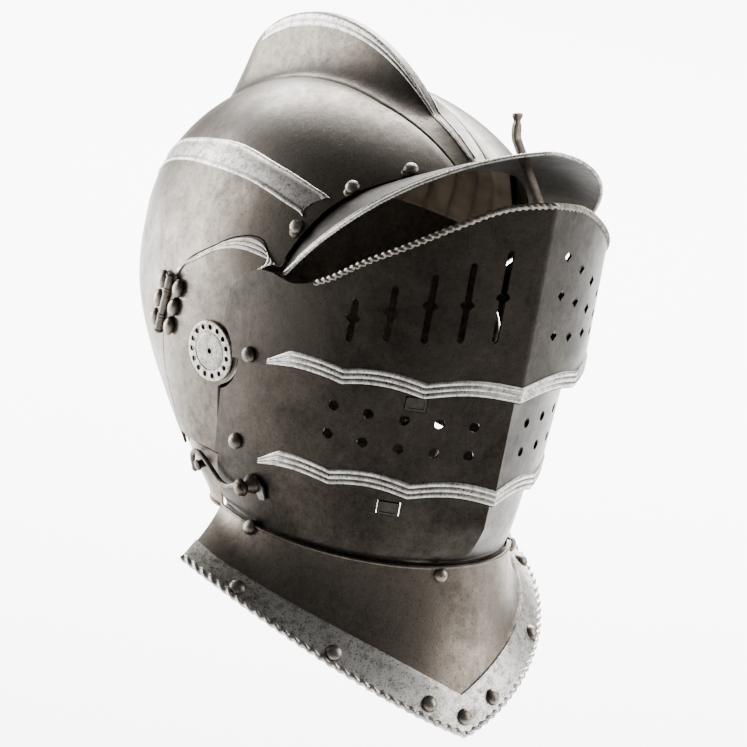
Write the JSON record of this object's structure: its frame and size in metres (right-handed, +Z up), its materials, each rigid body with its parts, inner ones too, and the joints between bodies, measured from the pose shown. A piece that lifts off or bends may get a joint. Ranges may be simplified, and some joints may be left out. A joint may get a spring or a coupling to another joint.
{
  "type": "knight helmet",
  "caption": "Closed steel burgonet with a combed skull, pointed peak, falling two-lame buffe over a bevor, hinged cheeks, side hook and pointed gorget.",
  "frame": {"origin": "centre of the skull bowl's widest ring, in the middle of the wearer's head", "axes": "+Z up, the helmet faces -Y, the wearer's right side is -X"},
  "size_m": [0.2326, 0.2972, 0.3527],
  "materials": {
    "dark_steel": "aged dark steel, rubbed satin",
    "skull_steel": "aged warm grey steel, satin",
    "bright_steel": "polished bands with dark pits",
    "rivet_steel": "worn domed heads",
    "spring_steel": "blued spring steel",
    "quilted_linen": "coarse quilted linen"
  },
  "bodies": {
    "root": {"bevor": "dark_steel", "border_rivet_1": "rivet_steel", "border_rivet_2": "rivet_steel", "border_rivet_3": "rivet_steel", "border_rivet_4": "rivet_steel", "border_rivet_5": "rivet_steel", "border_rivet_6": "rivet_steel", "border_rivet_7": "rivet_steel", "brow_rivet_left_1": "rivet_steel", "brow_rivet_left_2": "rivet_steel", "brow_rivet_left_3": "rivet_steel", "brow_rivet_right_1": "rivet_steel", "brow_rivet_right_2": "rivet_steel", "brow_rivet_right_3": "rivet_steel", "gorget": "skull_steel", "gorget_border": "bright_steel", "hinge_leaf_skull_left": "rivet_steel", "hinge_leaf_skull_right": "rivet_steel", "hinge_pin_left": "bright_steel", "hinge_pin_right": "bright_steel", "hinge_rivet_skull_left_1": "rivet_steel", "hinge_rivet_skull_left_2": "rivet_steel", "hinge_rivet_skull_left_3": "rivet_steel", "hinge_rivet_skull_right_1": "rivet_steel", "hinge_rivet_skull_right_2": "rivet_steel", "hinge_rivet_skull_right_3": "rivet_steel", "latch_pivot": "rivet_steel", "latch_stud": "dark_steel", "lining": "quilted_linen", "middle_pivot_rivet_left": "rivet_steel", "middle_pivot_rivet_right": "rivet_steel", "nape_plate": "skull_steel", "neck_rivet_1": "rivet_steel", "neck_rivet_2": "rivet_steel", "neck_rivet_3": "rivet_steel", "neck_rivet_4": "rivet_steel", "peak": "dark_steel", "skull": "skull_steel"},
    "middle_lame": {"middle_lame": "dark_steel", "upper_pivot_rivet_left": "rivet_steel", "upper_pivot_rivet_right": "rivet_steel"},
    "upper_lame": {"upper_lame": "dark_steel"},
    "cheek_right": {"cheek_right": "skull_steel", "ear_rosette_right": "bright_steel", "hinge_leaf_cheek_right": "rivet_steel", "hinge_rivet_cheek_right_1": "rivet_steel", "hinge_rivet_cheek_right_2": "rivet_steel", "hinge_rivet_cheek_right_3": "rivet_steel"},
    "cheek_left": {"cheek_left": "skull_steel", "ear_rosette_left": "bright_steel", "hinge_leaf_cheek_left": "rivet_steel", "hinge_rivet_cheek_left_1": "rivet_steel", "hinge_rivet_cheek_left_2": "rivet_steel", "hinge_rivet_cheek_left_3": "rivet_steel"},
    "latch_hook": {"latch_hook": "rivet_steel"},
    "nasal_bar": {"nasal_bar": "rivet_steel"},
    "upper_catch": {"upper_catch": "spring_steel", "upper_catch_spring": "spring_steel"},
    "lower_catch": {"lower_catch": "spring_steel", "lower_catch_spring": "spring_steel"}
  },
  "joints": [
    {"name": "middle_lame_fall", "type": "hinge", "parent": "root", "child": "middle_lame", "pos_m": [0, -0.04, -0.09], "axis": [1, 0, 0], "range_deg": [0, 12]},
    {"name": "upper_lame_fall", "type": "hinge", "parent": "middle_lame", "child": "upper_lame", "pos_m": [0, -0.048, -0.036], "axis": [1, 0, 0], "range_deg": [0, 15]},
    {"name": "cheek_right_hinge", "type": "hinge", "parent": "root", "child": "cheek_right", "pos_m": [-0.09938, 0.02982, -0.03326], "axis": [0.0946, 0.1652, -0.9817], "range_deg": [0, 80]},
    {"name": "cheek_left_hinge", "type": "hinge", "parent": "root", "child": "cheek_left", "pos_m": [0.09938, 0.02982, -0.03326], "axis": [0.0946, -0.1652, 0.9817], "range_deg": [0, 80]},
    {"name": "latch_hook_turn", "type": "hinge", "parent": "root", "child": "latch_hook", "pos_m": [-0.08541, -0.05382, -0.11012], "axis": [-0.928, 0.1206, -0.3526], "range_deg": [-15, 0]},
    {"name": "nasal_bar_slide", "type": "slide", "parent": "root", "child": "nasal_bar", "axis": [0, 0.7001, 0.7141], "range_m": [0, 0.02]},
    {"name": "upper_catch_press", "type": "hinge", "parent": "middle_lame", "child": "upper_catch", "pos_m": [-0.04889, -0.12995, -0.04982], "axis": [-0.8432, 0.5376, 0], "range_deg": [0, 3], "stiffness_Nm_per_rad": 0.3},
    {"name": "lower_catch_press", "type": "hinge", "parent": "root", "child": "lower_catch", "pos_m": [-0.04574, -0.1205, -0.11351], "axis": [-0.7868, 0.6172, 0], "range_deg": [0, 3], "stiffness_Nm_per_rad": 0.3}
  ]
}
